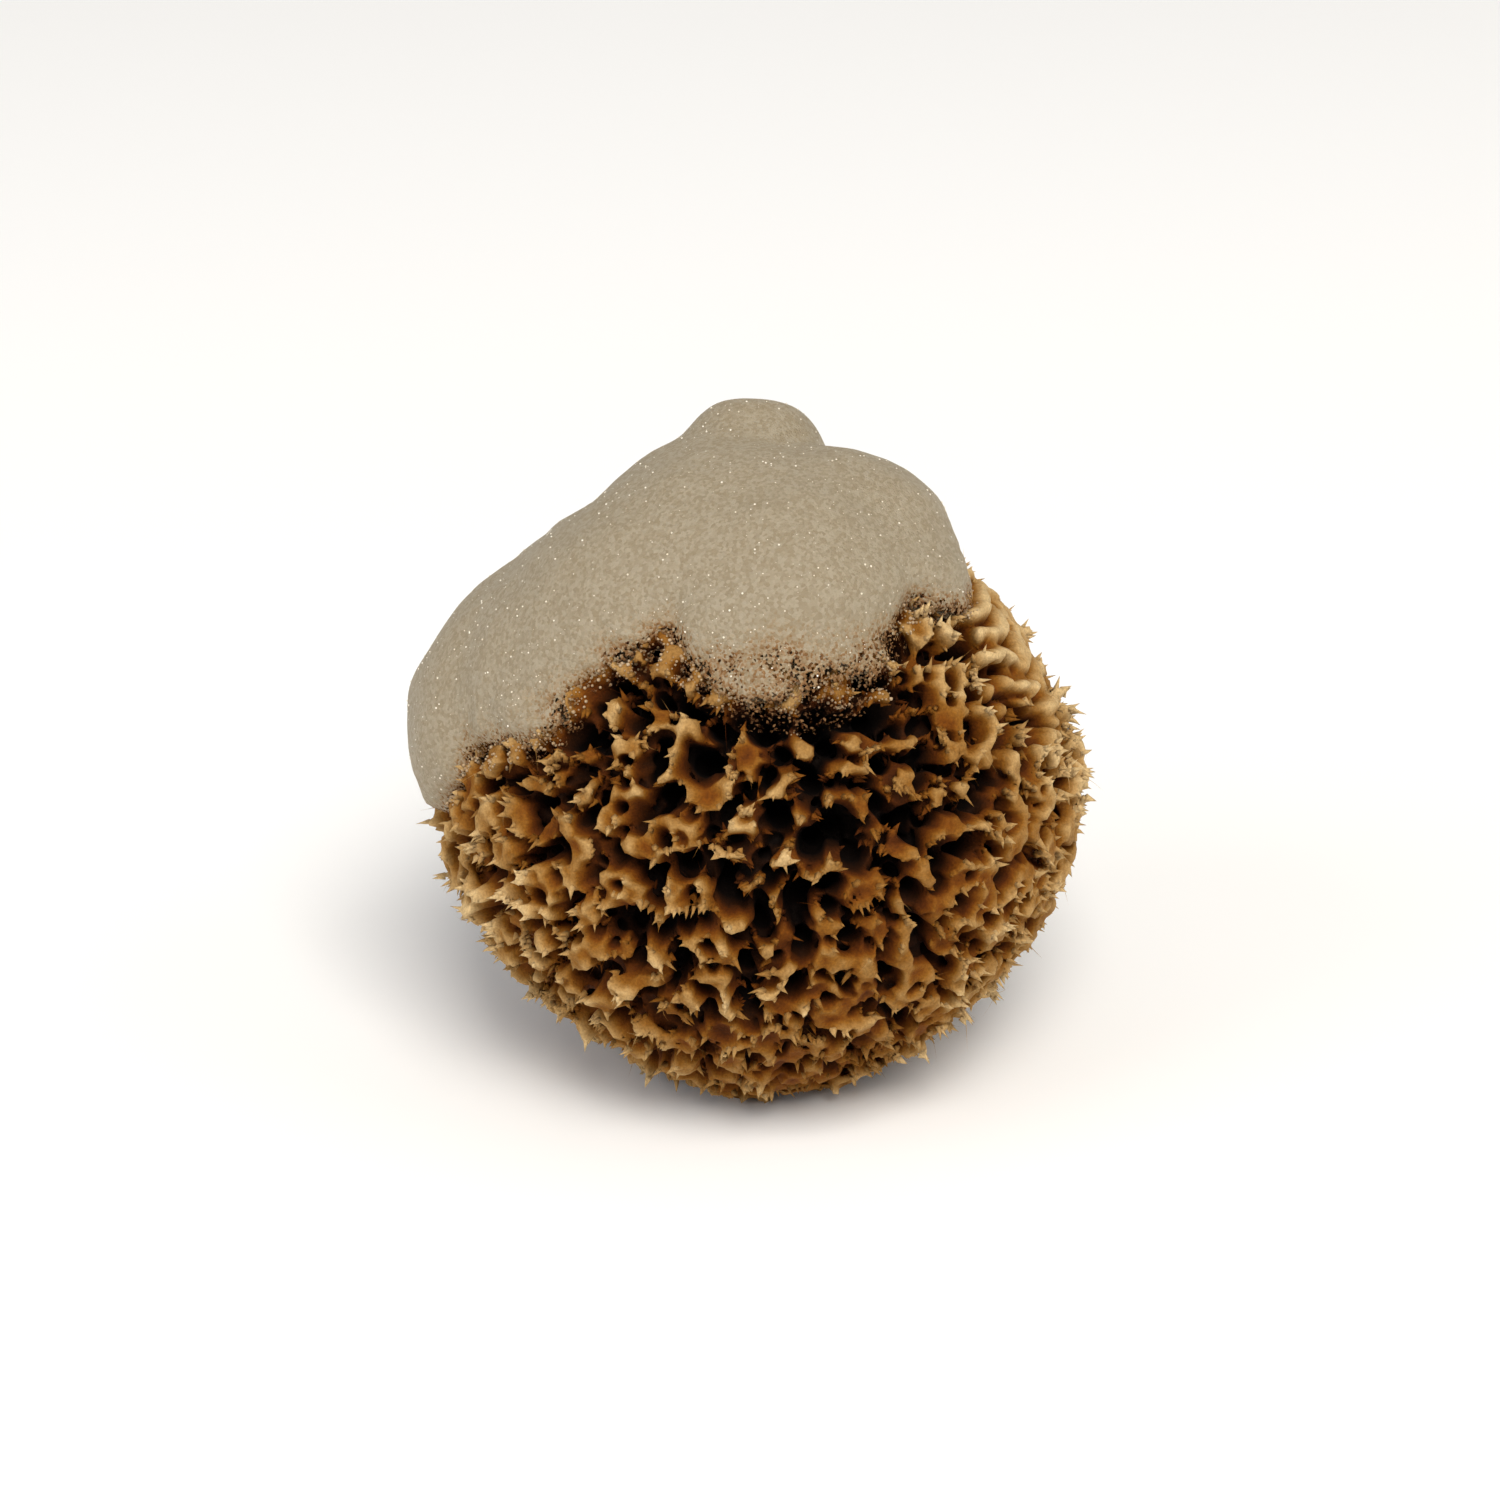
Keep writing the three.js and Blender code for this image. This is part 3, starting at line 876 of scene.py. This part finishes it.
skin = add(foam, "ShaderNodeBsdfPrincipled",
           inputs={"Base Color": colour, "Roughness": 0.55, "IOR": 1.33, "Specular IOR Level": 0.3,
                   "Subsurface Weight": 0.5, "Subsurface Scale": 2 * MM, "Alpha": lace,
                   "Subsurface Radius": (1.0, 0.85, 0.65), "Normal": bump.outputs["Normal"]})
add(foam, "ShaderNodeOutputMaterial", inputs={"Surface": skin.outputs[0]})
lather.data.materials.append(foam)

# ---------------------------------------------------------------------------------------------
# The foam's loose bubbles, of soap film. A lace of them clings to the tufts along the foam's
# edge, thinning out away from it, and larger ones lie scattered over the foam and glint, by their
# glossy film and by a painted highlight in their near-white colour.
# ---------------------------------------------------------------------------------------------
GOLDEN_RATIO = (1 + math.sqrt(5)) / 2


def icosahedron():
    """Twelve points (0, 1, g) turned round the axes, g the golden ratio, and the faces joining
    each three that lie the shortest distance apart, turned outwards."""
    points = [(0, a, b * GOLDEN_RATIO) for a in (-1.0, 1.0) for b in (-1, 1)]
    points = np.array([p[n:] + p[:n] for p in points for n in range(3)])
    apart = np.linalg.norm(points[:, None] - points[None], axis=-1)
    near = np.abs(apart - 2) < 0.01
    faces = [(a, b, c) for a in range(12) for b in range(a + 1, 12) for c in range(b + 1, 12)
             if near[a, b] and near[b, c] and near[a, c]]
    faces = np.array(faces)
    p, q, r = (points[faces[:, n]] for n in range(3))
    wrong = (np.cross(q - p, r - p) * (p + q + r)).sum(axis=1) < 0
    faces[wrong] = faces[wrong][:, ::-1]
    return unit(points), faces


def bubbles(name, centres, radii, material):
    """One ball of twenty faces at each centre, joined as one piece."""
    ball, faces = icosahedron()
    points = (centres[:, None] + radii[:, None, None] * ball[None]).reshape(-1, 3)
    faces = (faces[None] + 12 * np.arange(len(centres))[:, None, None]).reshape(-1, 3)
    piece = mesh_from(name, points, faces)
    piece.data.materials.append(material)
    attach(piece, "root")
    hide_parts("soap_lather")


# Soap film over brown felt: each small bubble takes the tan of what is under it.
film = new_material("bubble_film")
coords = add(film, "ShaderNodeTexCoord").outputs["Object"]
patch = add(film, "ShaderNodeTexNoise",
            inputs={"Vector": coords, "Scale": 0.9 / MM, "Detail": 2.0})
colour = ramp(film, patch.outputs["Fac"], [(0.3, "94754F"), (0.7, "BCA688")])
skin = add(film, "ShaderNodeBsdfPrincipled",
           inputs={"Base Color": colour, "Roughness": 0.35, "IOR": 1.33,
                   "Specular IOR Level": 0.35})
add(film, "ShaderNodeOutputMaterial", inputs={"Surface": skin.outputs[0]})

# The lace lies where the lather would be between about -2.6 mm and 1.5 mm thick, in patches.
thick_at = lather_thickness(unit(skin_points))
patchy = smooth_heights(skin_points, 2.2, 51) * 1.6 + smooth_heights(skin_points, 6.0, 52) * 1.2
edge = (thick_at > -2.6 + patchy) & (thick_at < 1.5) & (skin_depth < 4.0) & (skin_near < 0.6)
at = scattered(edge, 0.36, 5000)
size = 0.12 + 0.2 * random.random(len(at)) ** 2
bubbles("edge_bubbles", skin_points[at] + 0.6 * size[:, None] * skin_normals[at], size, film)

# A large bubble's film is smooth and wet, so it throws back the light. Its near-white colour is
# a painted highlight added to that, so each shows as a pale point.
glint = new_material("bubble_with_painted_glint")
coords = add(glint, "ShaderNodeTexCoord").outputs["Object"]
patch = add(glint, "ShaderNodeTexNoise", inputs={"Vector": coords, "Scale": 0.7 / MM})
colour = ramp(glint, patch.outputs["Fac"], [(0.3, "E0D4BC"), (0.7, "FFF8EA")])
skin = add(glint, "ShaderNodeBsdfPrincipled",
           inputs={"Base Color": colour, "Roughness": 0.06, "IOR": 1.33,
                   "Specular IOR Level": 1.0})
add(glint, "ShaderNodeOutputMaterial", inputs={"Surface": skin.outputs[0]})
foam_thick = lather_thickness(unit(points))
half_way_out = tip_radius(unit(points)) + 0.5 * foam_thick
outer = np.flatnonzero((foam_thick > 0.5) & (np.linalg.norm(points, axis=1) > half_way_out))
at = random.permutation(outer)[:1400]
size = 0.06 + 0.13 * random.random(len(at)) ** 2.5
bubbles("glinting_bubbles", points[at], size, glint)

# ---------------------------------------------------------------------------------------------
# The setting: a pale matt floor under the flat cut, a large soft light above the front with a
# weaker one at each side, and the camera in front, 25 degrees above level.
# ---------------------------------------------------------------------------------------------
FLOOR_REACH = 3  # metres each way
ground = CAD_BOX[0][2]
floor_mesh = bpy.data.meshes.new("floor")
floor_corners = [(x * FLOOR_REACH, y * FLOOR_REACH, ground)
                 for x, y in ((-1, -1), (1, -1), (1, 1), (-1, 1))]
floor_mesh.from_pydata(floor_corners, [], [(0, 1, 2, 3)])
floor = bpy.data.objects.new("floor", floor_mesh)
bpy.context.scene.collection.objects.link(floor)
paint = new_material("pale_floor")
skin = add(paint, "ShaderNodeBsdfPrincipled",
           inputs={"Base Color": linear("F8F8F7"), "Roughness": 0.9, "Specular IOR Level": 0.1})
add(paint, "ShaderNodeOutputMaterial", inputs={"Surface": skin.outputs[0]})
floor.data.materials.append(paint)

world = bpy.data.worlds.new("studio")
world.use_nodes = True
world.node_tree.nodes["Background"].inputs["Color"].default_value = linear("FFFFFF")
world.node_tree.nodes["Background"].inputs["Strength"].default_value = 0.36
bpy.context.scene.world = world
centre = Vector((0, 0, ground - CUT_HEIGHT * MM))
LIGHT_DISTANCE = 3.0


def soft_light(name, lean, bearing, size, watts, colour):
    """A square area light at a lean and bearing from the sponge, turned to face it."""
    light = bpy.data.lights.new(name, "AREA")
    light.size, light.energy, light.color = size, watts, linear(colour)[:3]
    lamp = bpy.data.objects.new(name, light)
    away = Vector(bearing_direction(lean, bearing).tolist())
    lamp.location = centre + away * LIGHT_DISTANCE
    lamp.rotation_euler = away.to_track_quat("Z", "Y").to_euler()
    bpy.context.scene.collection.objects.link(lamp)


soft_light("key", 38, 12, 1.5, 82, "FFFAF3")
soft_light("left_fill", 62, -65, 2.0, 28, "FBFBFF")
soft_light("right_fill", 55, 80, 2.0, 15, "FFFDFA")

ELEVATION = math.radians(25)
DISTANCE = 0.6
FRAME_WIDTH = 0.2308  # metres across the view at the sponge
camera_data = bpy.data.cameras.new("camera")
camera_data.sensor_width = 36
camera_data.lens = camera_data.sensor_width * DISTANCE / FRAME_WIDTH
camera_data.clip_start, camera_data.clip_end = 0.01, 20
camera = bpy.data.objects.new("camera", camera_data)
back = Vector((0, -math.cos(ELEVATION), math.sin(ELEVATION)))
up = Vector((0, math.sin(ELEVATION), math.cos(ELEVATION)))
aim = centre + Vector((-1.4 * MM, 0, 0)) + up * 3.5 * MM
turned = back.to_track_quat("Z", "Y").to_matrix().to_4x4()
camera.matrix_world = Matrix.Translation(aim + back * DISTANCE) @ turned
bpy.context.scene.collection.objects.link(camera)
bpy.context.scene.camera = camera
bpy.context.scene.view_settings.view_transform = "Standard"
